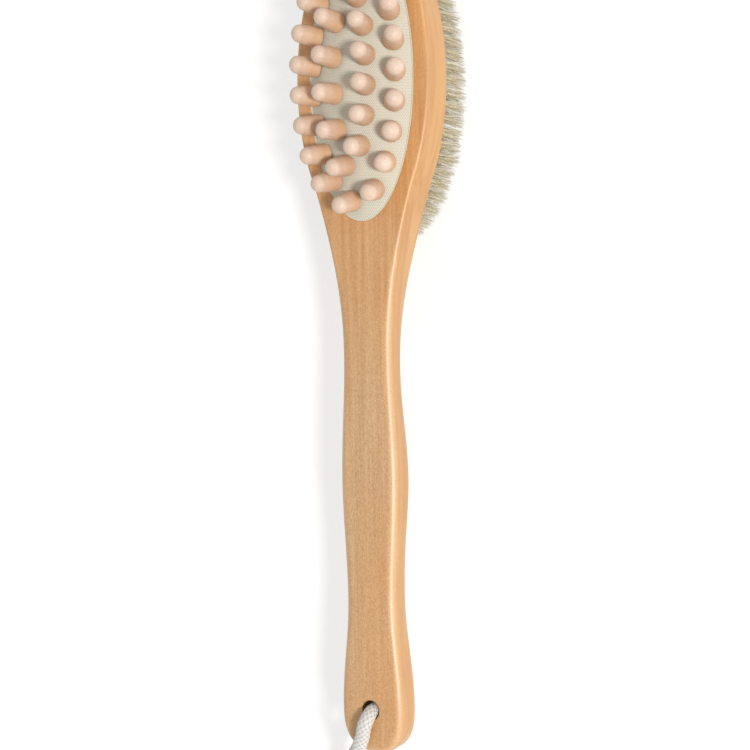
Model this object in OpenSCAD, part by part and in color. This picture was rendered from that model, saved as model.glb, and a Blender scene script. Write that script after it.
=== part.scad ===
// Long-handled body dry brush: a wooden board with bristle tufts on one
// face and an air cushion with wooden massage pegs on the other.
// Millimetres. +Z up, bristles down, head towards +Y.
// The origin is below the middle of the brush, where the bristle tips stand.

/* [Overall] */
// Length from the end of the handle to the tip of the head
overall_l = 408; // [350:1:440]
// Width of the head
head_w = 75; // [60:1:90]
// Length of the oval head
head_l = 155; // [120:1:180]
// Thickness of the board at the head
board_t = 19.5; // [18:0.5:24]

/* [Handle] */
// Half width of the handle at its end swell
end_half_w = 17.6; // [12:0.1:20]
// Half width of the handle at its waist
waist_half_w = 13.9; // [10:0.1:16]
// Half width of the handle at the palm swell
palm_half_w = 16.2; // [12:0.1:19]
// Half width of the handle at the neck
neck_half_w = 14; // [10:0.1:18]
// Thickness of the handle at its end
end_t = 16.5; // [13:0.1:18]
// Thickness of the handle at its waist
waist_t = 14.5; // [12:0.1:18]
// Thickness of the handle at the palm swell
palm_t = 16.2; // [12:0.1:18]
// Thickness of the handle at the neck
neck_t = 13.4; // [11:0.1:18]
// Rounding of the handle's long edges
handle_r = 4.5; // [2:0.1:6]
// Rounding of the head's edges
head_r = 1.8; // [1:0.1:4]
// Diameter of the hole for the hanging cord
cord_hole_d = 9.4; // [7:0.1:12]
// Distance of the cord hole from the end of the handle
cord_hole_inset = 21.5; // [14:0.5:26]

/* [Cushion] */
// Width of the wooden border around the cushion
border = 8.1; // [6:0.1:12]
// Depth of the recess under the cushion
recess_depth = 8; // [7:0.5:9]
// Height of the cushion's crown above the border
crown = 10.4; // [6:0.1:13]
// Thickness of the rubber
rubber_t = 1.4; // [1:0.1:2]
// Thickness of the woven face
cloth_t = 0.5; // [0.3:0.1:0.8]
// Width of the plain rubber lip around the woven face
lip_w = 1.4; // [1:0.1:3]

/* [Pegs] */
// Height of a massage peg above the cushion
peg_h = 15; // [12:0.5:20]
// Diameter of a peg at its base
peg_d = 10.3; // [8:0.1:11]
// Diameter of a peg just under its round tip
peg_tip_d = 7.8; // [7:0.1:10]
// Diameter of the stem that goes through the cushion
stem_d = 5; // [4:0.1:6]
// Number of pegs in the outer ring
outer_pegs_n = 19; // [15:1:21]
// Distance between the pegs of the inner column on the right
right_pitch = 14; // [13:0.5:15]
// Distance between the pegs of the inner column on the left
left_pitch = 17; // [16:0.5:18]
// Diameter of the foot disc on the stem
foot_d = 9.2; // [7:0.1:10]
// Thickness of the foot disc
foot_t = 1.6; // [1:0.1:2]

/* [Bristles] */
// Free length of the bristles
bristle_l = 24; // [15:1:30]
// Diameter of a tuft at its root
tuft_d = 4; // [3:0.1:5]
// Diameter of a tuft at its tip
tuft_tip_d = 5.1; // [4:0.1:6]
// Distance between neighbouring tufts and rows
tuft_pitch = 6.3; // [5.8:0.1:8]
// Distance of the outer row from the edge of the head
tuft_inset = 5.6; // [5:0.1:9]
// Depth of a tuft hole
tuft_hole_depth = 8; // [6:0.5:9]

/* [Hanging cord] */
// Diameter of the cotton cord
cord_d = 7; // [4:0.1:8]
// Diameter of the knot
knot_d = 15; // [12:0.5:18]

/* [Hidden] */
wood_c = [0.84, 0.66, 0.46];
peg_c = [0.85, 0.70, 0.58];
rubber_c = [0.90, 0.87, 0.76];
cloth_c = [0.86, 0.84, 0.74];
bristle_c = [0.78, 0.72, 0.57];
steel_c = [0.7, 0.7, 0.72];
cord_c = [0.86, 0.85, 0.82];

y_end = -overall_l / 2;
y_tip = overall_l / 2;
head_cy = y_tip - head_l / 2;
wood_top = bristle_l + board_t;
ha = head_w / 2;
hb = head_l / 2;

// the handle's flare runs into the oval of the head here
join_y = head_cy - 0.65 * hb;
// length of the round end of the handle
end_l = 22;
// the stations are for a handle of 280 and stretch with its length
stretch = (join_y - y_end) / 280;
neck_at = 195;
// [distance from the end of the handle, half width] of each swell and waist
swells = [[end_l, end_half_w], [75, waist_half_w], [135, palm_half_w], [neck_at, neck_half_w]];
// [distance from the end of the handle, thickness]
depths = [[end_l, end_t], [100, waist_t], [135, palm_t], [185, neck_t], [275, board_t]];

// half a wave from each station to the next
function wave(k, d, i = 0) =
    d <= k[0][0] ? k[0][1] : i > len(k) - 2 ? k[len(k) - 1][1] :
    d > k[i + 1][0] ? wave(k, d, i + 1) :
    k[i][1] + (k[i + 1][1] - k[i][1]) * (1 - cos(180 * (d - k[i][0]) / (k[i + 1][0] - k[i][0]))) / 2;
function oval_w(y) = ha * sqrt(max(0, 1 - pow((y - head_cy) / hb, 2)));
// the end of the handle is a full, squarish oval
end_n = 2.6;
function half_w(y) =
    y <= y_end + end_l ? end_half_w * pow(max(0, 1 - pow((y_end + end_l - y) / end_l, end_n)), 1 / end_n)
    : y >= join_y ? oval_w(y)
    : (y - y_end) / stretch <= neck_at ? wave(swells, (y - y_end) / stretch)
    : neck_half_w + (oval_w(join_y) - neck_half_w) * pow(((y - y_end) / stretch - neck_at) / (280 - neck_at), 2);
function thick(y) = wave(depths, (y - y_end) / stretch);
function smooth(t) = let (u = min(1, max(0, t))) u * u * (3 - 2 * u);
function round_r(y) = handle_r + (head_r - handle_r) * smooth(((y - y_end) / stretch - 208) / 60);

// rows of the board's outline: closer together at both round ends
rows_end = [for (i = [0:8]) y_end + end_l * (1 - pow(cos(i * 90 / 9), 2 / end_n))];
rows_mid = [for (i = [0:43]) y_end + end_l + i * (head_cy - y_end - end_l) / 44];
rows_head = [for (i = [0:24]) head_cy + hb * sin(i * 90 / 24)];
rows = concat(rows_end, rows_mid, rows_head);
rn = len(rows) - 1;
right_side = [for (y = rows) [half_w(y), y]];
outline = concat(right_side, [for (i = [rn - 1:-1:1]) [-right_side[i][0], right_side[i][1]]]);
om = len(outline);
function nrm2(v) = v / norm(v);
function out_dir(k) =
    k == 0 ? [0, -1] : k == rn ? [0, 1] :
    let (t = nrm2(outline[(k + 1) % om] - outline[(k + om - 1) % om])) [t[1], -t[0]];
// each level is [inset share, height share] of the edge rounding
round_steps = 4;
function level(l, k) =
    let (y = outline[k][1], r = round_r(y), t = thick(y), low = l <= round_steps,
         a = low ? l * 90 / round_steps : (l - round_steps - 1) * 90 / round_steps,
         inset = low ? r * (1 - sin(a)) : r * (1 - cos(a)),
         z = low ? wood_top - t + r * (1 - cos(a)) : wood_top - r * (1 - sin(a)),
         p = outline[k] - inset * out_dir(k))
    [p[0], p[1], z];
lv = 2 * round_steps + 2;
board_pts = [for (l = [0:lv - 1]) for (k = [0:om - 1]) level(l, k)];
function id(l, k) = l * om + ((k + om) % om);
// from this row to the tip each flat face is one polygon
flat_row = len([for (y = rows) if (y < y_end + 276 * stretch) 1]);
board_faces = concat(
    [for (l = [0:lv - 2]) for (k = [0:om - 1]) each [
        [id(l, k), id(l + 1, k), id(l + 1, k + 1)],
        [id(l, k), id(l + 1, k + 1), id(l, k + 1)]]],
    [[id(lv - 1, 0), id(lv - 1, om - 1), id(lv - 1, 1)]],
    [for (i = [1:flat_row - 1]) each [
        [id(lv - 1, om - i - 1), id(lv - 1, i + 1), id(lv - 1, i)],
        [id(lv - 1, om - i), id(lv - 1, om - i - 1), id(lv - 1, i)]]],
    [[for (k = [om - flat_row:-1:flat_row]) id(lv - 1, k)]],
    [[0, 1, om - 1]],
    [for (i = [1:flat_row - 1]) each [
        [i, i + 1, om - i - 1], [i, om - i - 1, om - i]]],
    [[for (k = [flat_row:om - flat_row]) k]]
);

// ovals
function oval(a, b, n) = [for (i = [0:n - 1]) [a * cos(i * 360 / n), head_cy + b * sin(i * 360 / n)]];
pa = ha - border;
pb = hb - border;
da = pa - lip_w;
db = pb - lip_w;
base_z = wood_top + 0.2;

// crown of the cushion: height at a point, k below its face along the normal
function rho2(p) = pow(p[0] / da, 2) + pow((p[1] - head_cy) / db, 2);
function grad(p) = [2 * crown * p[0] / (da * da), 2 * crown * (p[1] - head_cy) / (db * db)];
function crown_z(p, k = 0) = base_z + crown * (1 - rho2(p)) - k * sqrt(1 + pow(norm(grad(p)), 2));
cushion_m = 64;
cushion_r = 8;
function ring_pt(j, i, a = da, b = db) =
    [a * j / cushion_r * cos(i * 360 / cushion_m), head_cy + b * j / cushion_r * sin(i * 360 / cushion_m)];
function with_z(p, z) = [p[0], p[1], z];

// pegs: [x, y, zone]; the zones are 0 middle, 1 inner ends, 2 outer sides, 3 outer ends
// an inner column is six pegs on a bowed line
function column(x, pitch, shift) = [for (i = [0:5])
    [x * sqrt(1 - pow((i - 2.5) / 2.9, 2)), head_cy + (i - 2.5) * pitch + shift, i == 0 || i == 5 ? 1 : 0]];
inner_pegs = concat(column(9, right_pitch, 1), column(-8, left_pitch, 0));
outer_a = 21.8;
outer_b = 60;
// points evenly spaced along the outer oval, found by walking its arc
arc_n = 720;
function arc_len(i) = norm([outer_a * (cos((i + 1) * 360 / arc_n) - cos(i * 360 / arc_n)),
                            outer_b * (sin((i + 1) * 360 / arc_n) - sin(i * 360 / arc_n))]);
arc_sum = [for (i = 0, s = 0; i <= arc_n; s = s + arc_len(i), i = i + 1) s];
function at_arc(s, i = 0) = (i >= arc_n || arc_sum[i] >= s) ? i : at_arc(s, i + 1);
outer_pegs = [for (k = [0:outer_pegs_n - 1])
    let (a = at_arc(k / outer_pegs_n * arc_sum[arc_n]) * 360 / arc_n,
         side = abs(sin(a)) < 0.56)
    [outer_a * cos(a), head_cy + outer_b * sin(a), side ? 2 : 3]];
all_pegs = concat(inner_pegs, outer_pegs);
function peg_zone(z) = [for (p = all_pegs) if (p[2] == z) p];

module on_crown(p, k = 0) {
    g = grad(p);
    translate([p[0], p[1], crown_z(p)])
        rotate([0, atan(norm(g)), atan2(g[1], g[0])])
            translate([0, 0, k]) children();
}

// tufts: rows of the back face, each an oval inset from the last
function row_a(r) = ha - tuft_inset - r * tuft_pitch;
function row_b(r) = hb - tuft_inset - r * tuft_pitch;
function around(a, b) = 3.14159 * (3 * (a + b) - sqrt((3 * a + b) * (a + 3 * b)));
function even(a, b, n, turn) =
    let (m = 360,
         s = [for (i = 0, s = 0; i <= m; s = s + norm([a * (cos(i + 1) - cos(i)), b * (sin(i + 1) - sin(i))]), i = i + 1) s])
    [for (k = [0:n - 1]) let (w = (k + turn) / n * s[m], i = walk(s, w)) [a * cos(i), head_cy + b * sin(i)]];
function walk(s, w, i = 0) = (i >= 359 || s[i + 1] >= w) ? i + (w - s[i]) / (s[i + 1] - s[i]) : walk(s, w, i + 1);
function row_tufts(r) =
    r < 4 ? let (n = floor(around(row_a(r), row_b(r)) / tuft_pitch)) even(row_a(r), row_b(r), n, (r % 2) / 2)
    : r == 4 ? [for (s = [-1, 1]) for (i = [-3:3]) [s * (tuft_pitch - 0.3), head_cy + i * tuft_pitch]]
    : [for (i = [-7:7]) [0, head_cy + i * tuft_pitch]];
outer_row = row_tufts(0);
bearing_step = len(outer_row) / 8;
function is_bearing(k) = len([for (j = [0:7]) if (round(j * bearing_step + 0.01) == k) 1]) > 0;
all_tufts = [for (r = [0:5]) each row_tufts(r)];

// cord route, from the middle of the hole to the knot
cord_y = y_end + cord_hole_inset;
upper_route = [
    [0.5, cord_y, 36], [0.5, cord_y, 40], [0.5, -183, 43.5], [0.5, -184.5, 46],
    [0, -187, 48], [-1, -190, 48.5], [-2, -194, 48], [-4, -199, 47.5],
    [-6, -204, 46.5], [-9, -210, 42.5], [-13, -217, 36], [-17, -225, 27.5],
    [-22, -234, 19], [-27, -242, 13], [-32, -250, 9.5], [-36.5, -257.5, 8]
];
lower_route = [
    [0.5, cord_y, 36], [0.5, cord_y, 32], [0.5, -183, 28], [-0.5, -183.5, 25],
    [-3, -186, 22.5], [-7, -189.5, 21.5], [-11, -194, 21], [-15, -199.5, 21],
    [-19, -205.5, 20.5], [-23, -212, 19.5], [-28, -218.5, 18], [-33, -225.5, 15.5],
    [-38, -233, 12.5], [-42, -241, 10], [-44, -249.5, 8.5], [-44, -257.5, 8]
];
knot_at = [-40, -262.5, 7.5];

// one round tube along a route
function tangent(r, i) = nrm2(r[min(i + 1, len(r) - 1)] - r[max(i - 1, 0)]);
function tube_pts(r, d, n) = [for (i = [0:len(r) - 1])
    let (t = tangent(r, i), u0 = nrm2(cross(t, abs(t[0]) < 0.9 ? [1, 0, 0] : [0, 1, 0])), v = cross(t, u0))
    for (k = [0:n - 1]) r[i] + d / 2 * (cos(k * 360 / n) * u0 + sin(k * 360 / n) * v)];
module tube(r, d, n = 12) {
    m = len(r);
    polyhedron(tube_pts(r, d, n), concat(
        [[for (k = [0:n - 1]) k]],
        [for (i = [0:m - 2]) for (k = [0:n - 1]) each [
            [i * n + k, (i + 1) * n + k, (i + 1) * n + (k + 1) % n],
            [i * n + k, (i + 1) * n + (k + 1) % n, i * n + (k + 1) % n]]],
        [[for (k = [n - 1:-1:0]) (m - 1) * n + k]]));
}

module wooden_body() {
    color(wood_c) difference() {
        polyhedron(board_pts, board_faces);
        translate([0, 0, wood_top - recess_depth]) linear_extrude(recess_depth + 1)
            polygon(oval(pa, pb, 96));
        translate([0, cord_y, 0]) cylinder(d = cord_hole_d, h = 60, $fn = 48);
        for (p = all_tufts) translate([p[0], p[1], bristle_l - 1])
            cylinder(d = tuft_d + 0.1, h = tuft_hole_depth + 1, $fn = 24);
    }
}

// the rubber: crown, lip and the wall that stands on the floor of the recess
module rubber_cushion() {
    floor_z = wood_top - recess_depth;
    wall = 1.7;
    oa = pa - 0.05;
    ob = pb - 0.05;
    ia = oa - wall;
    ib = ob - wall;
    m = cushion_m;
    rr = cushion_r;
    function flat_ring(a, b, z) = [for (i = [0:m - 1]) [a * cos(i * 360 / m), head_cy + b * sin(i * 360 / m), z]];
    upper = [for (j = [1:rr]) each [for (i = [0:m - 1]) let (p = ring_pt(j, i)) with_z(p, crown_z(p, cloth_t))]];
    edge = concat(flat_ring(da, db, base_z), flat_ring(oa, ob, base_z),
                  flat_ring(oa, ob, floor_z), flat_ring(ia, ib, floor_z));
    lower = [for (j = [rr:-1:1]) each [for (i = [0:m - 1])
        let (p = ring_pt(j, i, ia, ib)) with_z(p, crown_z(p, cloth_t + rubber_t))]];
    top_c = with_z([0, head_cy], crown_z([0, head_cy], cloth_t));
    low_c = with_z([0, head_cy], crown_z([0, head_cy], cloth_t + rubber_t));
    pts = concat([top_c], upper, edge, lower, [low_c]);
    nr = 2 * rr + 4;
    last = len(pts) - 1;
    color(rubber_c) difference() {
        polyhedron(pts, concat(
            [for (i = [0:m - 1]) [0, 1 + (i + 1) % m, 1 + i]],
            [for (j = [0:nr - 2]) for (i = [0:m - 1]) let (a = 1 + j * m, b = a + m, k = (i + 1) % m) each [
                [a + i, a + k, b + k], [a + i, b + k, b + i]]],
            [for (i = [0:m - 1]) [last, last - m + i, last - m + (i + 1) % m]]));
        for (p = all_pegs) on_crown(p, -8) cylinder(d = stem_d + 0.1, h = 16, $fn = 32);
    }
}

module cushion_cloth() {
    m = cushion_m;
    rr = cushion_r;
    upper = [for (j = [1:rr]) each [for (i = [0:m - 1]) let (p = ring_pt(j, i)) with_z(p, crown_z(p))]];
    lower = [for (j = [rr:-1:1]) each [for (i = [0:m - 1]) let (p = ring_pt(j, i)) with_z(p, crown_z(p, cloth_t))]];
    c = [0, head_cy];
    pts = concat([with_z(c, crown_z(c))], upper, lower, [with_z(c, crown_z(c, cloth_t))]);
    last = len(pts) - 1;
    color(cloth_c) difference() {
        polyhedron(pts, concat(
            [for (i = [0:m - 1]) [0, 1 + (i + 1) % m, 1 + i]],
            [for (j = [0:2 * rr - 2]) for (i = [0:m - 1]) let (a = 1 + j * m, b = a + m, k = (i + 1) % m)
                each j < rr ? [[a + i, a + k, b + k], [a + i, b + k, b + i]]
                            : [[a + i, a + k, b + i], [a + k, b + k, b + i]]],
            [for (i = [0:m - 1]) [last, last - m + i, last - m + (i + 1) % m]]));
        for (p = all_pegs) on_crown(p, -8) cylinder(d = stem_d + 0.1, h = 16, $fn = 32);
    }
}

// one turned peg: round tip, tapered body with a rounded foot, and a stem
module peg() {
    rb = peg_d / 2;
    rt = peg_tip_d / 2;
    e = 1.2;
    stem_l = cloth_t + rubber_t + foot_t + 0.9;
    rotate_extrude($fn = 40) polygon(concat(
        [[0, -stem_l], [stem_d / 2, -stem_l], [stem_d / 2, 0.04]],
        [for (a = [0:22.5:90]) [rb - e + e * sin(a), 0.04 + e - e * cos(a)]],
        [for (a = [0:11.25:90]) [rt * cos(a), peg_h - rt + rt * sin(a)]]));
}
module pegs(zone) color(peg_c) for (p = peg_zone(zone)) on_crown(p) peg();
module feet(zone) color(peg_c) for (p = peg_zone(zone))
    on_crown(p, -(cloth_t + rubber_t + foot_t + 0.45)) difference() {
        cylinder(d = foot_d, h = foot_t, $fn = 32);
        translate([0, 0, -1]) cylinder(d = stem_d, h = foot_t + 2, $fn = 32);
    }

// one tuft: its root fills the hole above the anchor and its free end spreads
module tuft() {
    translate([0, 0, bristle_l]) cylinder(d = tuft_d, h = tuft_hole_depth - 1, $fn = 20);
    cylinder(d1 = tuft_tip_d, d2 = tuft_d, h = bristle_l, $fn = 20);
}
module tufts(r, bearing = false) color(bristle_c)
    for (k = [0:len(row_tufts(r)) - 1])
        if (r > 0 || is_bearing(k) == bearing)
            translate([row_tufts(r)[k][0], row_tufts(r)[k][1], 0]) tuft();

module tuft_anchors() color(steel_c)
    for (p = all_tufts) translate([p[0], p[1], bristle_l + tuft_hole_depth - 0.5])
        cube([3.2, 0.5, 1], center = true);

module hang_cord_upper() color(cord_c) tube(upper_route, cord_d);
module hang_cord_lower() color(cord_c) tube(lower_route, cord_d);
module cord_knot() color(cord_c) translate(knot_at) sphere(d = knot_d, $fn = 48);

wooden_body();
rubber_cushion();
cushion_cloth();
pegs(0);  // pegs_middle
pegs(1);  // pegs_inner_ends
pegs(2);  // pegs_outer_sides
pegs(3);  // pegs_outer_ends
feet(0);  // feet_middle
feet(1);  // feet_inner_ends
feet(2);  // feet_outer_sides
feet(3);  // feet_outer_ends
tufts(0, true);  // bristles_row_1_bearing
tufts(0);  // bristles_row_1
tufts(1);  // bristles_row_2
tufts(2);  // bristles_row_3
tufts(3);  // bristles_row_4
tufts(4);  // bristles_row_5
tufts(5);  // bristles_centre_row
tuft_anchors();
hang_cord_upper();
hang_cord_lower();
cord_knot();
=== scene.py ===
import math
import random
import bpy
import bmesh
import numpy as np
from mathutils import Matrix, Vector, noise


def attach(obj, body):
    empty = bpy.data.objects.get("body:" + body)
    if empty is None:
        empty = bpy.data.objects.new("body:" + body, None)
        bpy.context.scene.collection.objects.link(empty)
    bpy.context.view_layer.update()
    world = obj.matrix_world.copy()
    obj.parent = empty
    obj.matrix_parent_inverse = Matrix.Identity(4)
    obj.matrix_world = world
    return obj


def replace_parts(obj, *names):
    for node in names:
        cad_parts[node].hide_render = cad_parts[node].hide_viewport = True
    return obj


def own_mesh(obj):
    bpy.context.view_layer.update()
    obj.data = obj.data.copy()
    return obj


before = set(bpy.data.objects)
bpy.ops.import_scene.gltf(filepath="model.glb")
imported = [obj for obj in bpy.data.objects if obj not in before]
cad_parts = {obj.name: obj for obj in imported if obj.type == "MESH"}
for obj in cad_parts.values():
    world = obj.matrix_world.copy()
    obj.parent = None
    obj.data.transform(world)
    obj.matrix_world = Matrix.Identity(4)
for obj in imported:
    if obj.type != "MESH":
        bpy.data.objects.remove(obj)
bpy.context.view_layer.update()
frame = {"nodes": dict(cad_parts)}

MM = 0.001
random.seed(7)
rng = np.random.default_rng(7)

# ---------------------------------------------------------------- sizes, in mm, as in the CAD
L, HEAD_W, HEAD_L, T_HEAD = 408.0, 75.0, 155.0, 19.5
BR_L, BORDER, RECESS, CROWN, LIP = 24.0, 8.1, 8.0, 10.4, 1.4
Y0, Y1 = -L / 2, L / 2
HCY = Y1 - HEAD_L / 2
TOP = BR_L + T_HEAD
HA, HB = HEAD_W / 2, HEAD_L / 2
PA, PB = HA - BORDER, HB - BORDER
DA, DB = PA - LIP, PB - LIP
BASE_Z = TOP + 0.2

END_L, END_N = 22.0, 2.6
HOLE_Y, HOLE_R = Y0 + 21.5, 4.7

JOIN_Y = HCY - 0.65 * HB
STRETCH = (JOIN_Y - Y0) / 280
NECK_AT = 195.0
SWELLS = [(END_L, 17.6), (75.0, 13.9), (135.0, 16.2), (NECK_AT, 14.0)]
DEPTHS = [(END_L, 16.5), (100.0, 14.5), (135.0, 16.2), (185.0, 13.4), (275.0, T_HEAD)]


def wave(k, d):
    """Half a wave from each station to the next."""
    if d <= k[0][0]:
        return k[0][1]
    for (a, va), (b, vb) in zip(k, k[1:]):
        if d <= b:
            return va + (vb - va) * (1 - math.cos(math.pi * (d - a) / (b - a))) / 2
    return k[-1][1]


def oval_w(y):
    return HA * math.sqrt(max(0.0, 1 - ((y - HCY) / HB) ** 2))


def half_w(y):
    if y <= Y0 + END_L:
        return 17.6 * max(0.0, 1 - ((Y0 + END_L - y) / END_L) ** END_N) ** (1 / END_N)
    if y >= JOIN_Y:
        return oval_w(y)
    d = (y - Y0) / STRETCH
    if d <= NECK_AT:
        return wave(SWELLS, d)
    return 14.0 + (oval_w(JOIN_Y) - 14.0) * ((d - NECK_AT) / (280 - NECK_AT)) ** 2


def smooth(t):
    u = min(1.0, max(0.0, t))
    return u * u * (3 - 2 * u)


def round_r(y):
    return 4.5 + (1.8 - 4.5) * smooth(((y - Y0) / STRETCH - 208) / 60)


# ---------------------------------------------------------------- helpers
def new_mesh(name, verts, faces, mat, body, smooth_angle=40, scale=MM):
    me = bpy.data.meshes.new(name)
    me.from_pydata([tuple(float(c) * scale for c in v) for v in verts], [], [tuple(int(i) for i in f) for f in faces])
    me.validate()
    me.update()
    ob = bpy.data.objects.new(name, me)
    bpy.context.scene.collection.objects.link(ob)
    if mat:
        me.materials.append(mat)
    for p in me.polygons:
        p.use_smooth = True
    if smooth_angle:
        me.set_sharp_from_angle(angle=math.radians(smooth_angle))
    if body:
        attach(ob, body)
    return ob


def set_attr(ob, name, values):
    a = ob.data.attributes.new(name, 'FLOAT', 'POINT')
    a.data.foreach_set("value", np.asarray(values, dtype=np.float32))


class Nodes:
    """Small helper to write node trees."""
    def __init__(self, name):
        self.mat = bpy.data.materials.new(name)
        self.mat.use_nodes = True
        self.nt = self.mat.node_tree
        self.nt.nodes.clear()
        self.out = self.nt.nodes.new("ShaderNodeOutputMaterial")
        self.bsdf = self.nt.nodes.new("ShaderNodeBsdfPrincipled")
        self.nt.links.new(self.bsdf.outputs[0], self.out.inputs[0])

    def n(self, kind, **kw):
        node = self.nt.nodes.new(kind)
        for k, v in kw.items():
            if k.startswith("i_"):
                node.inputs[k[2:].replace("_", " ")].default_value = v
            else:
                setattr(node, k, v)
        return node

    def link(self, a, b):
        self.nt.links.new(a, b)

    def coords(self, scale=(1, 1, 1), rot=(0, 0, 0), loc=(0, 0, 0)):
        tc = self.n("ShaderNodeTexCoord")
        mp = self.n("ShaderNodeMapping")
        mp.inputs["Scale"].default_value = scale
        mp.inputs["Rotation"].default_value = rot
        mp.inputs["Location"].default_value = loc
        self.link(tc.outputs["Object"], mp.inputs["Vector"])
        return mp.outputs[0]

    def noise(self, vec, scale=5.0, detail=4.0, rough=0.55, dist=0.0):
        t = self.n("ShaderNodeTexNoise")
        t.inputs["Scale"].default_value = scale
        t.inputs["Detail"].default_value = detail
        t.inputs["Roughness"].default_value = rough
        t.inputs["Distortion"].default_value = dist
        self.link(vec, t.inputs["Vector"])
        return t.outputs["Fac"]

    def ramp(self, fac, stops):
        r = self.n("ShaderNodeValToRGB")
        els = r.color_ramp.elements
        while len(els) < len(stops):
            els.new(0.5)
        for e, (p, c) in zip(els, stops):
            e.position = p
            e.color = (*c, 1) if len(c) == 3 else c
        self.link(fac, r.inputs[0])
        return r.outputs["Color"]

    def math(self, op, a, b=None, c=None, clamp=False):
        m = self.n("ShaderNodeMath", operation=op, use_clamp=clamp)
        for i, v in enumerate((a, b, c)):
            if v is None:
                continue
            if isinstance(v, (int, float)):
                m.inputs[i].default_value = v
            else:
                self.link(v, m.inputs[i])
        return m.outputs[0]

    def mix(self, fac, a, b, mode="MIX"):
        m = self.n("ShaderNodeMix", data_type="RGBA", blend_type=mode)
        for sock, v in ((m.inputs[0], fac), (m.inputs[6], a), (m.inputs[7], b)):
            if isinstance(v, (int, float)):
                sock.default_value = v
            elif isinstance(v, tuple):
                sock.default_value = (*v, 1) if len(v) == 3 else v
            else:
                self.link(v, sock)
        return m.outputs[2]

    def maprange(self, v, a, b, c=0.0, d=1.0):
        m = self.n("ShaderNodeMapRange")
        self.link(v, m.inputs[0])
        for i, x in zip((1, 2, 3, 4), (a, b, c, d)):
            m.inputs[i].default_value = x
        return m.outputs[0]

    def bump(self, height, strength=0.3, distance=0.0002, normal=None):
        b = self.n("ShaderNodeBump")
        b.inputs["Strength"].default_value = strength
        b.inputs["Distance"].default_value = distance
        self.link(height, b.inputs["Height"])
        if normal is not None:
            self.link(normal, b.inputs["Normal"])
        return b.outputs[0]

    def finish(self, color=None, rough=None, normal=None, coat=0.0, coat_rough=0.1, sheen=0.0, spec=0.5, sub=0.0):
        b = self.bsdf
        if color is not None:
            if isinstance(color, tuple):
                b.inputs["Base Color"].default_value = (*color, 1)
            else:
                self.link(color, b.inputs["Base Color"])
        if rough is not None:
            if isinstance(rough, (int, float)):
                b.inputs["Roughness"].default_value = rough
            else:
                self.link(rough, b.inputs["Roughness"])
        if normal is not None:
            self.link(normal, b.inputs["Normal"])
        b.inputs["Coat Weight"].default_value = coat
        b.inputs["Coat Roughness"].default_value = coat_rough
        b.inputs["Sheen Weight"].default_value = sheen
        b.inputs["Specular IOR Level"].default_value = spec
        if sub:
            b.inputs["Subsurface Weight"].default_value = sub
            b.inputs["Subsurface Radius"].default_value = (0.002, 0.0012, 0.0008)
        return self.mat


def srgb(r, g, b):
    def f(c):
        c /= 255.0
        return c / 12.92 if c <= 0.04045 else ((c + 0.055) / 1.055) ** 2.4
    return (f(r), f(g), f(b))


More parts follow.
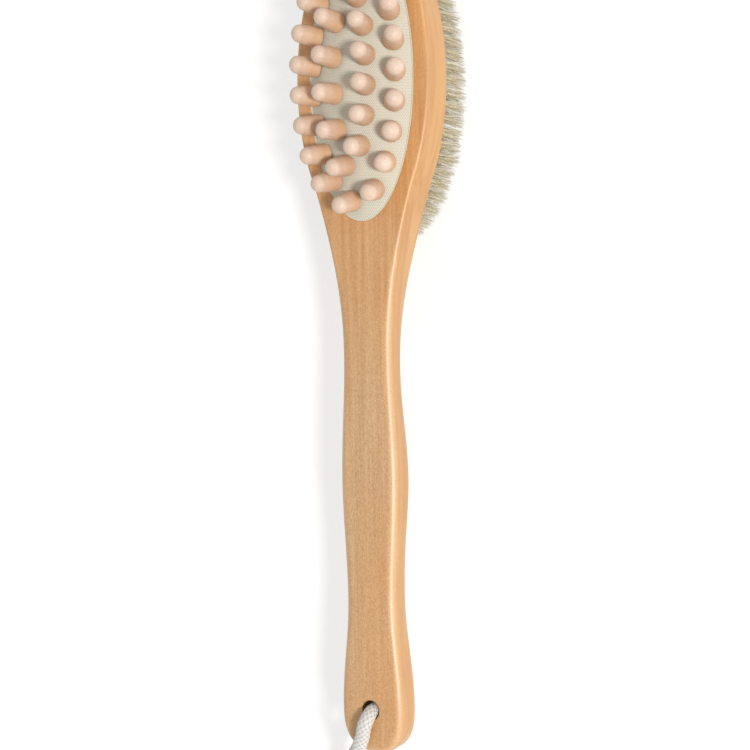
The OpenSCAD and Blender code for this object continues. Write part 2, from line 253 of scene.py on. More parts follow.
# ---------------------------------------------------------------- materials
def wood_material():
    m = Nodes("lacquered_wood")
    # grain runs along Y: broad bands, fine lines, and short open pores
    bands = m.noise(m.coords((95, 4.5, 95)), 1.0, 3, 0.5, 1.2)
    lines = m.noise(m.coords((560, 14, 560)), 1.0, 4, 0.62)
    pores = m.noise(m.coords((1500, 420, 1500), (0, 0, 0.10)), 1.0, 3, 0.6)
    speck = m.noise(m.coords((2700, 1150, 2700), (0, 0, 0.28)), 1.0, 3, 0.70)
    patch = m.noise(m.coords((16, 7, 16)), 1.0, 3, 0.55)
    base = m.ramp(bands, [(0.28, srgb(190, 140, 86)), (0.50, srgb(205, 158, 104)), (0.72, srgb(216, 174, 122))])
    fine = m.ramp(lines, [(0.32, srgb(178, 128, 78)), (0.62, srgb(232, 190, 140))])
    col = m.mix(0.42, base, fine)
    # the head is a deeper, more orange tone than the handle
    sep = m.n("ShaderNodeSeparateXYZ")
    m.link(m.coords(), sep.inputs[0])
    head = m.maprange(sep.outputs[1], -0.02, 0.075, 0.0, 0.70)
    col = m.mix(head, col, m.mix(m.maprange(m.math("ADD", m.math("MULTIPLY", lines, 0.45), m.math("MULTIPLY", bands, 0.55)), 0.40, 0.60), srgb(194, 133, 72), srgb(221, 166, 104)))
    # soft clouds of warmer and of greyer wood
    col = m.mix(m.maprange(patch, 0.36, 0.62, 0.0, 0.34), col, srgb(216, 152, 90))
    col = m.mix(m.maprange(patch, 0.62, 0.40, 0.0, 0.22), col, srgb(206, 176, 142))
    # short dark rays and pale flecks, as in beech
    tc = m.n("ShaderNodeTexCoord")
    sn = m.n("ShaderNodeSeparateXYZ")
    m.link(tc.outputs["Normal"], sn.inputs[0])
    nz = m.math("ABSOLUTE", sn.outputs[2])
    calm = m.math("MULTIPLY", m.maprange(sep.outputs[1], -0.03, 0.07, 1.0, 0.55), m.maprange(nz, 0.2, 0.9, 0.45, 1.0))
    col = m.mix(m.math("MULTIPLY", calm, m.maprange(speck, 0.52, 0.36, 0.0, 0.50)), col, srgb(164, 116, 76))
    col = m.mix(m.math("MULTIPLY", calm, m.maprange(speck, 0.52, 0.66, 0.0, 0.44)), col, srgb(236, 200, 156))
    pore_mask = m.maprange(pores, 0.55, 0.68, 0.0, 1.0)
    col = m.mix(m.math("MULTIPLY", m.math("MULTIPLY", pore_mask, calm), 0.30), col, srgb(152, 106, 70))
    # painted shade: faces that turn sideways (low nz) are tinted a darker, more saturated orange
    col = m.mix(m.maprange(nz, 0.75, 0.15, 0.0, 0.55), col, m.mix(m.maprange(bands, 0.38, 0.62), srgb(182, 127, 69), srgb(200, 150, 90)))
    # painted highlight: a pale cream band along the rounded edges between top and sides, weaker on the head
    ridge_highlight = m.math("MULTIPLY", m.maprange(nz, 0.30, 0.62), m.maprange(nz, 0.97, 0.75), clamp=True)
    onhead = m.maprange(sep.outputs[1], 0.0, 0.07, 1.0, 0.35)
    col = m.mix(m.math("MULTIPLY", m.math("MULTIPLY", ridge_highlight, onhead), 0.30), col, srgb(238, 204, 164))
    # painted shade: the wood inside the cord hole is darkened
    hx = m.math("MULTIPLY", sep.outputs[0], sep.outputs[0])
    hy = m.math("ADD", sep.outputs[1], 0.1825)
    hr = m.math("SQRT", m.math("ADD", hx, m.math("MULTIPLY", hy, hy)))
    col = m.mix(m.maprange(hr, 0.0052, 0.0047, 0.0, 0.8), col, srgb(110, 72, 44))
    rough = m.maprange(lines, 0.2, 0.8, 0.36, 0.48)
    h = m.math("SUBTRACT", m.math("MULTIPLY", lines, 0.5), m.math("MULTIPLY", pore_mask, 0.8))
    m.link(m.math("MULTIPLY", onhead, 0.42), m.bsdf.inputs["Coat Weight"])
    return m.finish(col, rough, m.bump(h, 0.20, 0.00012), coat=0.42, coat_rough=0.36)


def peg_material():
    m = Nodes("peg_wood")
    lines = m.noise(m.coords((900, 900, 90)), 1.0, 3, 0.6)
    fleck = m.noise(m.coords((1, 1, 1)), 1500.0, 2, 0.5)
    geo = m.n("ShaderNodeNewGeometry")
    rnd = geo.outputs["Random Per Island"]
    at = m.n("ShaderNodeAttribute", attribute_name="along")
    along = at.outputs["Fac"]
    # paler pinkish tips and darker orange bases: partly the end grain's own tone, partly painted light (lit tips,
    # shaded bases)
    low = m.mix(rnd, srgb(222, 180, 140), srgb(208, 170, 138))
    high = m.mix(rnd, srgb(226, 201, 181), srgb(217, 191, 172))
    col = m.mix(m.maprange(along, 0.30, 0.86), low, high)
    # a little darker in a band where the dome turns into the side
    ring = m.math("SUBTRACT", 1.0, m.math("MULTIPLY", m.math("ABSOLUTE", m.math("SUBTRACT", along, 0.70)), 8.0), clamp=True)
    col = m.mix(m.math("MULTIPLY", ring, 0.10), col, srgb(188, 152, 126))
    col = m.mix(m.maprange(lines, 0.35, 0.7, 0.0, 0.26), col, srgb(188, 146, 116))
    col = m.mix(m.maprange(fleck, 0.5, 0.75, 0.0, 0.22), col, srgb(238, 216, 200))
    return m.finish(col, m.maprange(lines, 0.2, 0.8, 0.46, 0.60), m.bump(lines, 0.18, 0.0001), coat=0.08, coat_rough=0.35)


def cloth_material():
    m = Nodes("woven_cloth")
    # a twill laid on the bias: cream yarns with short grey-green floats between them; the gaps' darker colour is
    # partly painted shade in the grooves
    sep = m.n("ShaderNodeSeparateXYZ")
    m.link(m.coords((1, 1, 1), (0, 0, math.radians(-53))), sep.inputs[0])
    wob = m.noise(m.coords((1, 1, 1)), 240.0, 2, 0.5)
    w = m.math("MULTIPLY", m.math("SUBTRACT", wob, 0.5), 1.5)
    across = m.math("ADD", m.math("MULTIPLY", sep.outputs[1], 2 * math.pi / 0.00086), w)
    # each float is shifted along its line from the one beside it
    step = m.math("MULTIPLY", sep.outputs[1], 0.7 * math.pi / 0.00086)
    alongy = m.math("ADD", m.math("MULTIPLY", sep.outputs[0], 2 * math.pi / 0.00170), m.math("ADD", step, w))
    rib = m.math("ADD", m.math("MULTIPLY", m.math("SINE", across), 0.5), 0.5)
    dash = m.math("ADD", m.math("MULTIPLY", m.math("SINE", alongy), 0.5), 0.5)
    gap = m.math("MULTIPLY", m.math("SUBTRACT", 1.0, rib), m.math("ADD", m.math("MULTIPLY", dash, 0.42), 0.58))
    yarn = m.math("SUBTRACT", 1.0, gap)
    # gaps: partly the grey-green float colour, partly painted shade between the yarns
    col = m.ramp(yarn, [(0.10, srgb(186, 187, 168)), (0.50, srgb(206, 203, 187)), (0.88, srgb(219, 214, 201))])
    fib = m.noise(m.coords((1, 1, 1)), 2600.0, 2, 0.6)
    col = m.mix(m.maprange(fib, 0.4, 0.7, 0.0, 0.16), col, srgb(206, 200, 178))
    soil = m.noise(m.coords((1, 1, 1)), 55.0, 3, 0.5)
    col = m.mix(m.maprange(soil, 0.35, 0.7, 0.0, 0.18), col, srgb(218, 211, 186))
    return m.finish(col, 0.88, m.bump(yarn, 0.45, 0.00020), sheen=0.15, spec=0.25)


def rubber_material():
    m = Nodes("cream_rubber")
    a = m.noise(m.coords((1, 1, 1)), 900.0, 3, 0.6)
    b = m.noise(m.coords((1, 1, 1)), 60.0, 2, 0.5)
    col = m.mix(m.maprange(b, 0.3, 0.7, 0.0, 1.0), srgb(224, 216, 196), srgb(214, 205, 180))
    return m.finish(col, m.maprange(a, 0.3, 0.7, 0.5, 0.62), m.bump(a, 0.15, 0.0001), spec=0.4)


def bristle_material():
    m = Nodes("natural_bristle")
    geo = m.n("ShaderNodeNewGeometry")
    rnd = geo.outputs["Random Per Island"]
    at = m.n("ShaderNodeAttribute", attribute_name="along")
    root = m.ramp(rnd, [(0.0, srgb(168, 150, 112)), (0.25, srgb(214, 198, 158)), (0.65, srgb(238, 225, 190)), (1.0, srgb(250, 243, 220))])
    tip = m.ramp(rnd, [(0.0, srgb(190, 176, 140)), (0.5, srgb(228, 217, 186)), (1.0, srgb(247, 240, 220))])
    col = m.mix(m.maprange(at.outputs["Fac"], 0.1, 0.95), root, tip)
    streak = m.noise(m.coords((1, 1, 1)), 900.0, 2, 0.5)
    col = m.mix(m.maprange(streak, 0.45, 0.7, 0.0, 0.25), col, srgb(160, 140, 104))
    return m.finish(col, m.maprange(streak, 0.3, 0.7, 0.42, 0.6), spec=0.4, sub=0.0)


def cord_material():
    m = Nodes("cotton_cord")
    at = m.n("ShaderNodeAttribute", attribute_name="yarn")
    fib = m.noise(m.coords((1, 1, 1)), 2400.0, 3, 0.6)
    cloud = m.noise(m.coords((1, 1, 1)), 160.0, 2, 0.5)
    # painted shade: the grooves between the braid's yarns (low 'yarn' height) are painted grey
    col = m.mix(m.maprange(at.outputs["Fac"], 0.50, 0.95), srgb(170, 165, 163), srgb(230, 226, 221))
    col = m.mix(m.maprange(fib, 0.4, 0.72, 0.0, 0.50), col, srgb(196, 191, 186))
    col = m.mix(m.maprange(cloud, 0.4, 0.7, 0.0, 0.25), col, srgb(214, 208, 197))
    return m.finish(col, 0.9, m.bump(fib, 0.5, 0.00018), sheen=0.3, spec=0.2)


def steel_material():
    m = Nodes("anchor_steel")
    a = m.noise(m.coords((3000, 200, 200)), 1.0, 3, 0.6)
    col = m.mix(a, srgb(150, 150, 152), srgb(196, 196, 198))
    m.finish(col, m.maprange(a, 0.3, 0.7, 0.3, 0.45), m.bump(a, 0.1, 0.00005))
    m.bsdf.inputs["Metallic"].default_value = 1.0
    return m.mat


WOOD, PEG, CLOTH, RUBBER = wood_material(), peg_material(), cloth_material(), rubber_material()
BRISTLE, CORD, STEEL = bristle_material(), cord_material(), steel_material()

# ---------------------------------------------------------------- camera
TH, PI_, RO, D_CAM, SC = math.radians(30.77), math.radians(1.86), math.radians(-0.93), 636.4, 2.06
target = Vector((5.62, -17.53, TOP))
back = Vector((math.sin(TH) * math.cos(PI_), math.sin(PI_), math.cos(TH) * math.cos(PI_)))
right = Vector((0, 1, 0)).cross(back).normalized()
up = back.cross(right)
cr, sr = math.cos(RO), math.sin(RO)
right, up = cr * right + sr * up, -sr * right + cr * up
cam_data = bpy.data.cameras.new("camera")
cam = bpy.data.objects.new("camera", cam_data)
bpy.context.scene.collection.objects.link(cam)
rot = Matrix((right, up, back)).transposed().to_4x4()
cam.matrix_world = Matrix.Translation((target + back * D_CAM) * MM) @ rot
cam_data.sensor_width = 36
cam_data.lens = 36 * SC * D_CAM / 750
cam_data.clip_start = 0.01
cam_data.clip_end = 20
bpy.context.scene.camera = cam

# ---------------------------------------------------------------- hanging cord
UPPER = [(0.5, HOLE_Y, 36), (0.5, HOLE_Y, 40), (0.5, -183, 43.5), (0.5, -184.5, 46), (0, -187, 48),
         (-1, -190, 48.5), (-2, -194, 48), (-4, -199, 47.5), (-6, -204, 46.5), (-9, -210, 42.5),
         (-13, -217, 36), (-17, -225, 27.5), (-22, -234, 19), (-27, -242, 13), (-32, -250, 9.5),
         (-36.5, -257.5, 8)]
LOWER = [(0.5, HOLE_Y, 36), (0.5, HOLE_Y, 32), (0.5, -183, 28), (-0.5, -183.5, 25), (-3, -186, 22.5),
         (-7, -189.5, 21.5), (-11, -194, 21), (-15, -199.5, 21), (-19, -205.5, 20.5), (-23, -212, 19.5),
         (-28, -218.5, 18), (-33, -225.5, 15.5), (-38, -233, 12.5), (-42, -241, 10), (-44, -249.5, 8.5),
         (-44, -257.5, 8)]
CORD_D = 7.0


def fine_path(pts, step):
    """Catmull-Rom through the points, resampled at an even step."""
    p = [np.array(q, float) for q in pts]
    p = [2 * p[0] - p[1]] + p + [2 * p[-1] - p[-2]]
    out = []
    for i in range(1, len(p) - 2):
        for t in np.linspace(0, 1, 24, endpoint=False):
            a, b, c, d = p[i - 1], p[i], p[i + 1], p[i + 2]
            out.append(0.5 * ((2 * b) + (c - a) * t + (2 * a - 5 * b + 4 * c - d) * t * t + (3 * b - a - 3 * c + d) * t ** 3))
    out.append(p[-2])
    out = np.array(out)
    s = np.r_[0, np.cumsum(np.linalg.norm(np.diff(out, axis=0), axis=1))]
    n = max(2, int(round(s[-1] / step)))
    w = np.linspace(0, s[-1], n + 1)
    return np.stack([np.interp(w, s, out[:, k]) for k in range(3)], 1), s[-1]


def frames(path):
    t = np.gradient(path, axis=0)
    t /= np.linalg.norm(t, axis=1)[:, None]
    u = np.cross(t[0], [0.3, 0.2, 0.9])
    if np.linalg.norm(u) < 0.1:
        u = np.cross(t[0], [1.0, 0, 0])
    u /= np.linalg.norm(u)
    us = [u]
    for i in range(1, len(path)):
        u = us[-1] - t[i] * np.dot(us[-1], t[i])
        us.append(u / np.linalg.norm(u))
    us = np.array(us)
    return t, us, np.cross(t, us)


def weave(p, q):
    """Height of a one over one braid: plump yarns along p and along q, each over and under in turn."""
    over = np.tanh(2.2 * np.cos(p) * np.cos(q))
    h1 = np.abs(np.cos(p)) ** 0.42 * (0.80 + 0.20 * over)
    h2 = np.abs(np.cos(q)) ** 0.42 * (0.80 - 0.20 * over)
    return np.maximum(h1, h2)


def braided_tube(name, path, d, around=128, pitch=20.0, yarns=4, relief=0.50, body="brush"):
    """A tube whose surface is a braid: two sets of plump yarns that cross as diamonds."""
    t, u, v = frames(path)
    s = np.r_[0, np.cumsum(np.linalg.norm(np.diff(path, axis=0), axis=1))]
    verts, yarn = [], []
    a = np.arange(around) * 2 * math.pi / around
    for i, c in enumerate(path):
        ph = 2 * math.pi * s[i] / pitch
        h = weave(yarns * (a + ph), yarns * (a - ph))
        r = (d / 2 - relief * (1 - h)) * (0.87 + 0.13 * smooth((s[i] - 4) / 9))
        verts.append(c[None] + r[:, None] * (np.cos(a)[:, None] * u[i] + np.sin(a)[:, None] * v[i]))
        yarn.append(h)
    n = len(path)
    verts = np.concatenate(verts)
    yarn = np.concatenate(yarn)
    faces = []
    for i in range(n - 1):
        for k in range(around):
            k2 = (k + 1) % around
            faces.append((i * around + k, i * around + k2, (i + 1) * around + k2, (i + 1) * around + k))
    # rounded ends
    verts = list(map(tuple, verts))
    yarn = list(yarn)
    for end in (0, n - 1):
        cen = len(verts)
        out = -1 if end == 0 else 1
        verts.append(tuple(path[end] + out * t[end] * 0.15))
        yarn.append(0.5)
        for k in range(around):
            k2 = (k + 1) % around
            q = (end * around + k2, end * around + k, cen)
            faces.append(q if end == 0 else q[::-1])
    ob = new_mesh(name, verts, faces, CORD, body, smooth_angle=None)
    set_attr(ob, "yarn", yarn)
    return ob


up_path, up_len = fine_path(UPPER, 0.45)
lo_path, lo_len = fine_path(LOWER, 0.45)
print("cord lengths mm", up_len, lo_len)
cord_up = braided_tube("hang_cord_upper_run", up_path, CORD_D + 0.3)
cord_lo = braided_tube("hang_cord_lower_run", lo_path, CORD_D + 0.3)
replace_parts(cord_up, "hang_cord_upper")
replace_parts(cord_lo, "hang_cord_lower")

# the knot: an overhand turn of the same cord, made as one closed trefoil tube
kc = np.array([-40.0, -262.5, 8.2])
ts = np.linspace(0, 2 * math.pi, 260, endpoint=False)
kx = np.sin(ts) + 2 * np.sin(2 * ts)
ky = np.cos(ts) - 2 * np.cos(2 * ts)
kz = -np.sin(3 * ts)
knot_path = np.stack([kx * 1.75, ky * 1.75, kz * 2.3], 1) + kc


def closed_tube(name, path, d, around=40, body="brush"):
    t = np.roll(path, -1, 0) - np.roll(path, 1, 0)
    t /= np.linalg.norm(t, axis=1)[:, None]
    up_v = np.array([0, 0, 1.0])
    u = np.cross(t, up_v)
    u /= np.linalg.norm(u, axis=1)[:, None]
    v = np.cross(t, u)
    a = np.arange(around) * 2 * math.pi / around
    s = np.r_[0, np.cumsum(np.linalg.norm(np.diff(path, axis=0), axis=1))]
    turns = round(s[-1] / 20.0)
    verts, yarn = [], []
    for i in range(len(path)):
        ph = 2 * math.pi * turns * i / len(path)
        h = weave(3 * (a + ph), 3 * (a - ph))
        r = d / 2 - 0.45 * (1 - h)
        verts.append(path[i][None] + r[:, None] * (np.cos(a)[:, None] * u[i] + np.sin(a)[:, None] * v[i]))
        yarn.append(h)
    n = len(path)
    faces = []
    for i in range(n):
        j = (i + 1) % n
        for k in range(around):
            k2 = (k + 1) % around
            faces.append((i * around + k, j * around + k, j * around + k2, i * around + k2))
    ob = new_mesh(name, np.concatenate(verts), faces, CORD, body, smooth_angle=None)
    set_attr(ob, "yarn", np.concatenate(yarn))
    return ob


knot = closed_tube("cord_knot_turns", knot_path, 5.6)
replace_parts(knot, "cord_knot")

# ---------------------------------------------------------------- wooden body
def board():
    ends = [Y0 + END_L * (1 - math.cos(math.radians(i * 90 / 26)) ** (2 / END_N)) for i in range(26)]
    mids = [Y0 + END_L + i * (HCY - Y0 - END_L) / 150 for i in range(150)]
    head = [HCY + HB * math.sin(math.radians(i * 90 / 60)) for i in range(61)]
    rows = ends + mids + head
    rs = [(half_w(y), y) for y in rows]
    rn = len(rows) - 1
    outline = np.array(rs + [(-rs[i][0], rs[i][1]) for i in range(rn - 1, 0, -1)])
    om = len(outline)
    tang = np.roll(outline, -1, 0) - np.roll(outline, 1, 0)
    tang /= np.linalg.norm(tang, axis=1)[:, None]
    outd = np.stack([tang[:, 1], -tang[:, 0]], 1)
    outd[0], outd[rn] = (0, -1), (0, 1)
    R = 9
    verts = []
    for l in range(2 * R + 2):
        low = l <= R
        a = math.radians(l * 90 / R if low else (l - R - 1) * 90 / R)
        for k in range(om):
            y = outline[k][1]
            r, t = round_r(y), wave(DEPTHS, (y - Y0) / STRETCH)
            ins = r * (1 - math.sin(a)) if low else r * (1 - math.cos(a))
            z = TOP - t + r * (1 - math.cos(a)) if low else TOP - r * (1 - math.sin(a))
            p = outline[k] - ins * outd[k]
            verts.append((p[0], p[1], z))
    lv = 2 * R + 2
    idx = lambda l, k: l * om + k % om
    faces = [(idx(l, k), idx(l, k + 1), idx(l + 1, k + 1), idx(l + 1, k)) for l in range(lv - 1) for k in range(om)]
    for base, flip in ((0, True), ((lv - 1) * om, False)):
        fs = [(0, 1, om - 1), (rn - 1, rn, rn + 1)]
        fs += [(i, i + 1, om - i - 1, om - i) for i in range(1, rn - 1)]
        for f in fs:
            f = tuple(base + q for q in f)
            faces.append(f[::-1] if flip else f)
    return verts, faces


def cutter(verts, faces, name):
    me = bpy.data.meshes.new(name)
    me.from_pydata([tuple(float(c) * MM for c in v) for v in verts], [], faces)
    me.update()
    ob = bpy.data.objects.new(name, me)
    bpy.context.scene.collection.objects.link(ob)
    return ob


def prism(pts, z0, z1, name, flare=0.0):
    n = len(pts)
    vs = [(x, y, z0) for x, y in pts] + [(x, y, z1) for x, y in pts]
    fs = [tuple(range(n))[::-1], tuple(range(n, 2 * n))] + [(i, (i + 1) % n, n + (i + 1) % n, n + i) for i in range(n)]
    return cutter(vs, fs, name)


def rim_cutter(ring, name, z_flat, r, above=3.0, below=30.0, sides=(True, False), z_low=None):
    """A prism whose mouth is rounded over with radius r where it meets a flat face."""
    prof = []
    if sides[1]:
        prof.append((r + 0.0, z_low - above))
        for i in range(7):
            a = math.radians(i * 90 / 6)
            prof.append((r * (1 - math.sin(a)), z_low + r * (1 - math.cos(a))))
    else:
        prof.append((0.0, z_flat - below))
    if sides[0]:
        for i in range(7):
            a = math.radians(i * 90 / 6)
            prof.append((r * (1 - math.cos(a)), z_flat - r * (1 - math.sin(a))))
        prof.append((r, z_flat + above))
    n = len(ring)
    vs, fs = [], []
    for off, z in prof:
        for x, y, nx, ny in ring:
            vs.append((x + off * nx, y + off * ny, z))
    m = len(prof)
    for j in range(m - 1):
        for i in range(n):
            fs.append((j * n + i, j * n + (i + 1) % n, (j + 1) * n + (i + 1) % n, (j + 1) * n + i))
    fs.append(tuple(range(n))[::-1])
    fs.append(tuple(range((m - 1) * n, m * n)))
    return cutter(vs, fs, name)


def oval_ring(a, b, n):
    out = []
    for i in range(n):
        w = 2 * math.pi * i / n
        nx, ny = math.cos(w) / a, math.sin(w) / b
        q = math.hypot(nx, ny)
        out.append((a * math.cos(w), HCY + b * math.sin(w), nx / q, ny / q))
    return out


bv, bf = board()
wood = new_mesh("wooden_body_shaped", bv, bf, WOOD, None)
cuts = [rim_cutter(oval_ring(PA, PB, 192), "cut_recess", TOP, 0.35, below=RECESS),
        rim_cutter([(HOLE_R * math.cos(w), HOLE_Y + HOLE_R * math.sin(w), math.cos(w), math.sin(w))
                    for w in np.linspace(0, 2 * math.pi, 64, endpoint=False)], "cut_hole", TOP, 0.5,
                   sides=(True, True), z_low=TOP - 16.5)]
for c in cuts:
    md = wood.modifiers.new(c.name, 'BOOLEAN')
    md.operation, md.object, md.solver = 'DIFFERENCE', c, 'EXACT'
dg = bpy.context.evaluated_depsgraph_get()
me = bpy.data.meshes.new_from_object(wood.evaluated_get(dg))
wood.modifiers.clear()
wood.data = me
for c in cuts:
    bpy.data.objects.remove(c, do_unlink=True)
for p in me.polygons:
    p.use_smooth = abs(p.normal.z) < 0.99995 or abs(p.center.z) < TOP * MM - 1e-5
me.set_sharp_from_angle(angle=math.radians(38))
if not me.materials:
    me.materials.append(WOOD)
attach(wood, "brush")
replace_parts(wood, "wooden_body")

# ---------------------------------------------------------------- cushion
def crown_z(x, y, k=0.0):
    r2 = (x / DA) ** 2 + ((y - HCY) / DB) ** 2
    g = math.hypot(2 * CROWN * x / DA ** 2, 2 * CROWN * (y - HCY) / DB ** 2)
    return BASE_Z + CROWN * (1 - r2) - k * math.sqrt(1 + g * g)


def column(x, pitch, shift):
    return [(x * math.sqrt(1 - ((i - 2.5) / 2.9) ** 2), HCY + (i - 2.5) * pitch + shift, 1 if i in (0, 5) else 0)
            for i in range(6)]


INNER = column(9.0, 14.0, 1.0) + column(-8.0, 17.0, 0.0)


def outer_ring():
    a, b, n, m = 21.8, 60.0, 720, 19
    s = [0.0]
    for i in range(n):
        w0, w1 = math.radians(i * 360 / n), math.radians((i + 1) * 360 / n)
        s.append(s[-1] + math.hypot(a * (math.cos(w1) - math.cos(w0)), b * (math.sin(w1) - math.sin(w0))))
    out = []
    for k in range(m):
        i = next(j for j in range(n + 1) if s[j] >= k / m * s[n])
        w = math.radians(i * 360 / n)
        out.append((a * math.cos(w), HCY + b * math.sin(w), 2 if abs(math.sin(w)) < 0.56 else 3))
    return out


PEGS = INNER + outer_ring()


def dome(name, k0, k1, a, b, rings, around, mat, body, pucker=0.0):
    """A closed skin over the crown, from k0 to k1 below its face."""
    vs, fs = [], []
    def pt(j, i, k):
        w = 2 * math.pi * i / around
        q = j / rings
        x, y = a * q * math.cos(w), b * q * math.sin(w) + HCY
        z = crown_z(x, y, k)
        if pucker:
            for px, py, _ in PEGS:
                d = math.hypot(x - px, y - py)
                if d < 9:
                    z -= pucker * math.exp(-((d - 5.0) / 1.6) ** 2) if d > 5 else pucker
            # the edge rolls down into the lip
            z -= 0.20 * math.exp(-((1 - q) * a / 0.5))
        return (x, y, z)
    vs.append(pt(0, 0, k0))
    for j in range(1, rings + 1):
        vs += [pt(j, i, k0) for i in range(around)]
    for j in range(rings, 0, -1):
        vs += [pt(j, i, k1) for i in range(around)]
    vs.append(pt(0, 0, k1))
    last = len(vs) - 1
    fs += [(0, 1 + i, 1 + (i + 1) % around) for i in range(around)]
    for j in range(2 * rings - 1):
        for i in range(around):
            p, q, k = 1 + j * around, 1 + (j + 1) * around, (i + 1) % around
            fs.append((p + i, q + i, q + k, p + k))
    fs += [(last, last - around + (i + 1) % around, last - around + i) for i in range(around)]
    return new_mesh(name, vs, fs, mat, body, smooth_angle=50)


cloth = dome("cushion_cloth_skin", 0.0, 0.5, DA + 0.95, DB + 0.95, 72, 240, CLOTH, "brush", pucker=0.22)
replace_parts(cloth, "cushion_cloth")
crown = dome("cushion_rubber_crown", 0.78, 1.62, DA - 0.6, DB - 0.6, 40, 120, RUBBER, "brush")


def lip_ring():
    """The plain rubber lip around the cloth, and the wall below it that stands in the recess."""
    n = 240
    oa, ob = PA - 0.05, PB - 0.05
    prof = [(0.0, TOP - RECESS)]
    prof += [(0.0, TOP - 0.45)]
    for i in range(7):
        w = math.radians(i * 90 / 6)
        prof.append((-0.3 * (1 - math.cos(w)), TOP - 0.3 + 0.3 * math.sin(w)))
    prof += [(-0.5, TOP - 0.02), (-0.75, TOP - 0.35), (-1.0, TOP - 1.3), (-1.75, TOP - 1.8), (-1.75, TOP - RECESS)]
    vs, fs = [], []
    for off, z in prof:
        for i in range(n):
            w = 2 * math.pi * i / n
            vs.append(((oa + off) * math.cos(w), HCY + (ob + off) * math.sin(w), z))
    m = len(prof)
    for j in range(m):
        j2 = (j + 1) % m
        for i in range(n):
            k = (i + 1) % n
            fs.append((j * n + i, j * n + k, j2 * n + k, j2 * n + i))
    return new_mesh("cushion_rubber_lip", vs, fs, RUBBER, "brush", smooth_angle=60)


lip = lip_ring()
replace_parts(crown, "rubber_cushion")
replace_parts(lip, "rubber_cushion")
for piece in (cloth, crown):
    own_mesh(piece)

# ---------------------------------------------------------------- pegs
def peg_profile():
    """Half outline of a turned peg: stem, rounded foot, tapered body, soft shoulder and domed tip."""
    rb, e, h = 5.15, 1.2, 15.0
    pr = [(0, -4.1), (2.3, -4.1), (2.5, -3.9), (2.5, 0.04)]
    for i in range(7):
        a = math.radians(i * 15)
        pr.append((rb - e + e * math.sin(a), 0.04 + e - e * math.cos(a)))
    hs, rs = 10.6, 4.35
    for i in range(1, 10):
        q = i / 10
        pr.append((rb + (rs - rb) * q + 0.10 * math.sin(math.pi * q), 0.04 + e + (hs - 0.04 - e) * q))
    for i in range(0, 16):
        a = math.radians(i * 6)
        pr.append((rs * math.cos(a) ** 0.92, hs + (h - hs) * math.sin(a) ** 0.97))
    return pr[:-1] + [(0, h)]


def add_pegs(zone, name, body):
    pr = peg_profile()
    n = 56
    vs, fs, al = [], [], []
    for x, y, z in PEGS:
        if z != zone:
            continue
        gx, gy = 2 * CROWN * x / DA ** 2, 2 * CROWN * (y - HCY) / DB ** 2
        nrm = Vector((gx, gy, 1)).normalized()
        q = Vector((0, 0, 1)).rotation_difference(nrm)
        o = Vector((x, y, crown_z(x, y)))
        base = len(vs)
        turn = random.random() * 6.28
        for j, (r, h) in enumerate(pr):
            if r == 0:
                vs.append(tuple(o + q @ Vector((0, 0, h))))
                al.append(max(0, h) / 15.0)
                continue
            for i in range(n):
                w = turn + 2 * math.pi * i / n
                # turned by hand: a hair out of round
                rr = r * (1 + 0.006 * math.sin(2 * w + x))
                vs.append(tuple(o + q @ Vector((rr * math.cos(w), rr * math.sin(w), h))))
                al.append(max(0, h) / 15.0)
        m = len(pr) - 2
        for i in range(n):
            fs.append((base, base + 1 + (i + 1) % n, base + 1 + i))
        for j in range(m - 1):
            p, t = base + 1 + j * n, base + 1 + (j + 1) * n
            for i in range(n):
                k = (i + 1) % n
                fs.append((p + i, p + k, t + k, t + i))
        top = base + 1 + m * n
        for i in range(n):
            fs.append((top - n + i, top - n + (i + 1) % n, top))
    ob = new_mesh(name, vs, fs, PEG, body, smooth_angle=50)
    set_attr(ob, "along", al)
    return ob


for zone, (node, body) in enumerate([("pegs_middle", "middle_pegs"), ("pegs_inner_ends", "inner_end_pegs"),
                                     ("pegs_outer_sides", "outer_side_pegs"), ("pegs_outer_ends", "outer_end_pegs")]):
    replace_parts(add_pegs(zone, node + "_turned", body), node)

# ---------------------------------------------------------------- bristles
def even(a, b, n, turn):
    m = 360
    s = [0.0]
    for i in range(m):
        w0, w1 = math.radians(i), math.radians(i + 1)
        s.append(s[-1] + math.hypot(a * (math.cos(w1) - math.cos(w0)), b * (math.sin(w1) - math.sin(w0))))
    out = []
    for k in range(n):
        w = (k + turn) / n * s[m]
        i = 0
        while i < 359 and s[i + 1] < w:
            i += 1
        t = math.radians(i + (w - s[i]) / (s[i + 1] - s[i]))
        out.append((a * math.cos(t), HCY + b * math.sin(t)))
    return out


PITCH = 6.3


def row_tufts(r):
    if r < 4:
        a, b = HA - 5.6 - r * PITCH, HB - 5.6 - r * PITCH
        around = 3.14159 * (3 * (a + b) - math.sqrt((3 * a + b) * (a + 3 * b)))
        return even(a, b, math.floor(around / PITCH), (r % 2) / 2)
    if r == 4:
        return [(s * (PITCH - 0.3), HCY + i * PITCH) for s in (-1, 1) for i in range(-3, 4)]
    return [(0, HCY + i * PITCH) for i in range(-7, 8)]


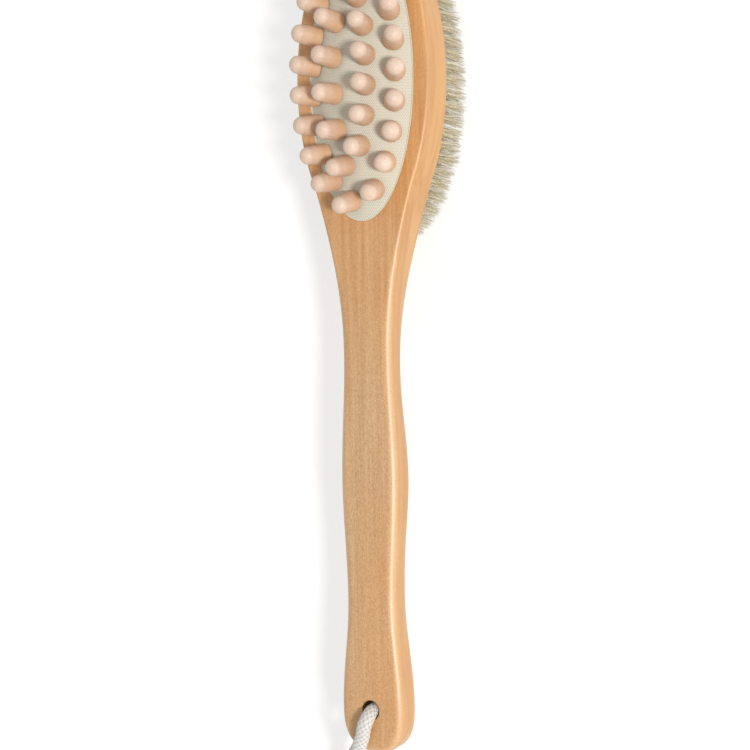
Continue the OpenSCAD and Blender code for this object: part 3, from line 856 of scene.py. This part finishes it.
def bristles(name, tufts, per, node, wide=False):
    vs, fs, al = [], [], []
    rings = 5
    for tx, ty in tufts:
        # the outer tufts lean a little outwards
        ex, ey = tx / HA, (ty - HCY) / HB
        lean = 2.0 * math.hypot(ex, ey) ** 3
        nx, ny = (ex / HA, ey / HB)
        q = math.hypot(nx, ny) or 1
        lx, ly = lean * nx / q + random.gauss(0, 0.25), lean * ny / q + random.gauss(0, 0.25)
        for _ in range(per):
            rr, w = 1.85 * math.sqrt(random.random()), random.random() * 2 * math.pi
            sx, sy = rr * math.cos(w), rr * math.sin(w)
            spread = 1.0 + random.uniform(0.35, 0.95)
            bx, by = random.gauss(0, 0.55), random.gauss(0, 0.55)
            cut = abs(random.gauss(0, 0.35)) + (random.random() < 0.06) * random.uniform(0.5, 2.2)
            fan = random.uniform(-1.7, 1.7) if wide else random.uniform(-0.5, 0.5)
            fx, fy = -fan * ny / q, fan * nx / q
            th = random.uniform(0.085, 0.15)
            ph = random.random() * 6.28
            base = len(vs)
            for j in range(rings):
                t = j / (rings - 1)
                e = t ** 1.4
                x = tx + sx * (1 + (spread - 1) * t) + (lx + fx) * e + bx * math.sin(t * 2.2) * t
                y = ty + sy * (1 + (spread - 1) * t) + (ly + fy) * e + by * math.sin(t * 2.2) * t
                z = BR_L + 0.6 - (BR_L + 0.6 - cut) * t
                r = th * (1 - 0.45 * t)
                for i in range(3):
                    vs.append((x + r * math.cos(ph + i * 2.0944), y + r * math.sin(ph + i * 2.0944), z))
                    al.append(t)
            for j in range(rings - 1):
                for i in range(3):
                    k = (i + 1) % 3
                    fs.append((base + j * 3 + i, base + (j + 1) * 3 + i, base + (j + 1) * 3 + k, base + j * 3 + k))
            fs.append((base, base + 1, base + 2))
            e0 = base + (rings - 1) * 3
            fs.append((e0 + 2, e0 + 1, e0))
    ob = new_mesh(name, vs, fs, BRISTLE, "brush", smooth_angle=None)
    set_attr(ob, "along", al)
    for n in node:
        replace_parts(ob, n)
    return ob


PER = 96
bristles("bristle_tufts_row_1", row_tufts(0), PER, ["bristles_row_1", "bristles_row_1_bearing"], True)
for r in (1, 2, 3, 4):
    bristles(f"bristle_tufts_row_{r + 1}", row_tufts(r), PER if r < 2 else int(PER * 0.5), [f"bristles_row_{r + 1}"], r == 1)
bristles("bristle_tufts_centre_row", row_tufts(5), int(PER * 0.5), ["bristles_centre_row"])

# ---------------------------------------------------------------- CAD nodes that stay
def give(node, mat):
    ob = frame["nodes"][node] if not isinstance(frame["nodes"], list) else bpy.data.objects[node]
    if isinstance(ob, str):
        ob = bpy.data.objects[ob]
    ob.data.materials.clear()
    ob.data.materials.append(mat)


for n in ("feet_middle", "feet_inner_ends", "feet_outer_sides", "feet_outer_ends"):
    give(n, PEG)
give("tuft_anchors", STEEL)

# ---------------------------------------------------------------- floor and light
fm = Nodes("floor_paper")
fn = fm.noise(fm.coords((1, 1, 1)), 40.0, 3, 0.5)
fm.finish(fm.mix(fn, (0.50, 0.50, 0.50), (0.53, 0.53, 0.525)), 0.9, spec=0.1)
fm.bsdf.inputs["Emission Color"].default_value = (1.0, 0.995, 0.985, 1)
fm.bsdf.inputs["Emission Strength"].default_value = 0.56
bpy.ops.mesh.primitive_plane_add(size=30, location=(0, 0, -0.0004))
floor = bpy.context.object
floor.name = "floor"
floor.data.materials.append(fm.mat)

bpy.context.scene.view_settings.view_transform = 'Standard'
world = bpy.data.worlds.new("world")
bpy.context.scene.world = world
world.use_nodes = True
world.node_tree.nodes["Background"].inputs[0].default_value = (1.0, 1.0, 1.0, 1)
world.node_tree.nodes["Background"].inputs[1].default_value = 0.57


def area(name, loc, aim, size, power, color=(1, 1, 1)):
    ld = bpy.data.lights.new(name, 'AREA')
    ld.shape, ld.size, ld.energy, ld.color = 'DISK', size, power, color
    lo = bpy.data.objects.new(name, ld)
    bpy.context.scene.collection.objects.link(lo)
    lo.location = loc
    lo.rotation_euler = (Vector(aim) - Vector(loc)).to_track_quat('-Z', 'Y').to_euler()
    return lo


area("key", (1.38, -0.32, 1.39), (0, 0.0, 0.03), 0.32, 26.5, (1.0, 0.99, 0.97))
